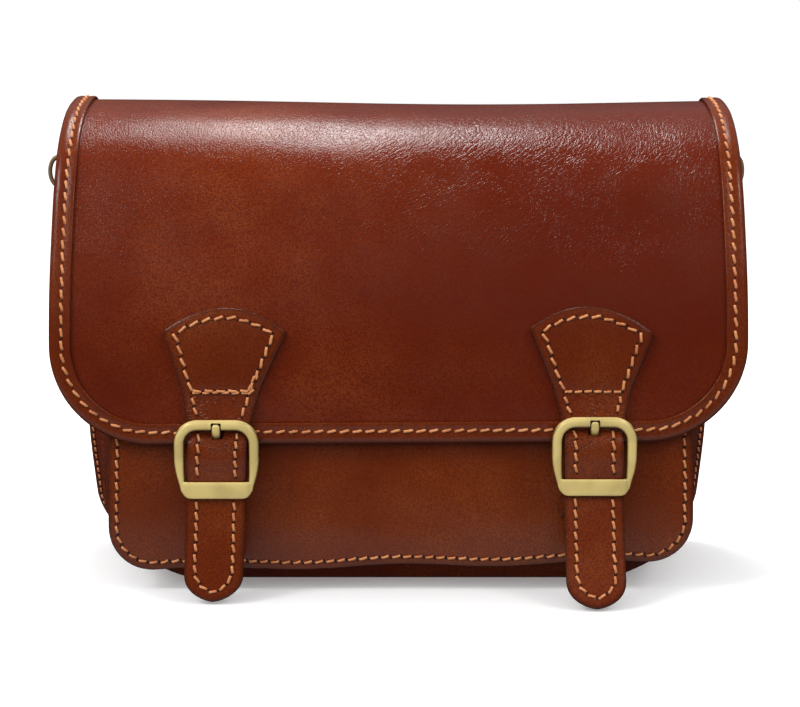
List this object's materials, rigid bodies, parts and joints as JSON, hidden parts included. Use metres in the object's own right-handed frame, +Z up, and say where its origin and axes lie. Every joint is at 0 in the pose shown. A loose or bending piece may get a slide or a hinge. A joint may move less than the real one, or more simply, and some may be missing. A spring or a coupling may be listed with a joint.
{
  "type": "shoulder bag",
  "caption": "Brown leather satchel-form shoulder bag with a bound front flap, fan-ended buckled closure straps and swinging D-rings for a carrying strap.",
  "frame": {"origin": "on the floor under the middle of the bag's flattened soft bottom", "axes": "+Z up, +X to the right in the front view, -Y out of the bag's front"},
  "size_m": [0.308, 0.1233, 0.1993],
  "materials": {
    "body_leather": "glossy smooth chestnut calf leather with fine creases",
    "trim_leather": "glossy smooth chestnut calf leather, stitched, burnished edges",
    "antique_brass": "antique brass, brushed and darkened in the recesses"
  },
  "bodies": {
    "bag": {"back_panel": "body_leather", "gusset": "body_leather", "front_panel": "body_leather", "flap": "body_leather", "flap_binding": "trim_leather", "closure_strap_left": "trim_leather", "closure_strap_right": "trim_leather", "chape_left": "trim_leather", "chape_right": "trim_leather", "ring_tab_left": "trim_leather", "ring_tab_right": "trim_leather", "buckle_left": "antique_brass", "buckle_right": "antique_brass", "prong_left": "antique_brass", "prong_right": "antique_brass"},
    "ring_left": {"d_ring_left": "antique_brass"},
    "ring_right": {"d_ring_right": "antique_brass"}
  },
  "joints": [
    {"name": "ring_left_swing", "type": "hinge", "parent": "bag", "child": "ring_left", "pos_m": [-0.1441, 0.046, 0.166], "axis": [0, 0, 1], "range_deg": [-140, 85]},
    {"name": "ring_right_swing", "type": "hinge", "parent": "bag", "child": "ring_right", "pos_m": [0.1441, 0.046, 0.166], "axis": [0, 0, 1], "range_deg": [-115, 110]}
  ]
}
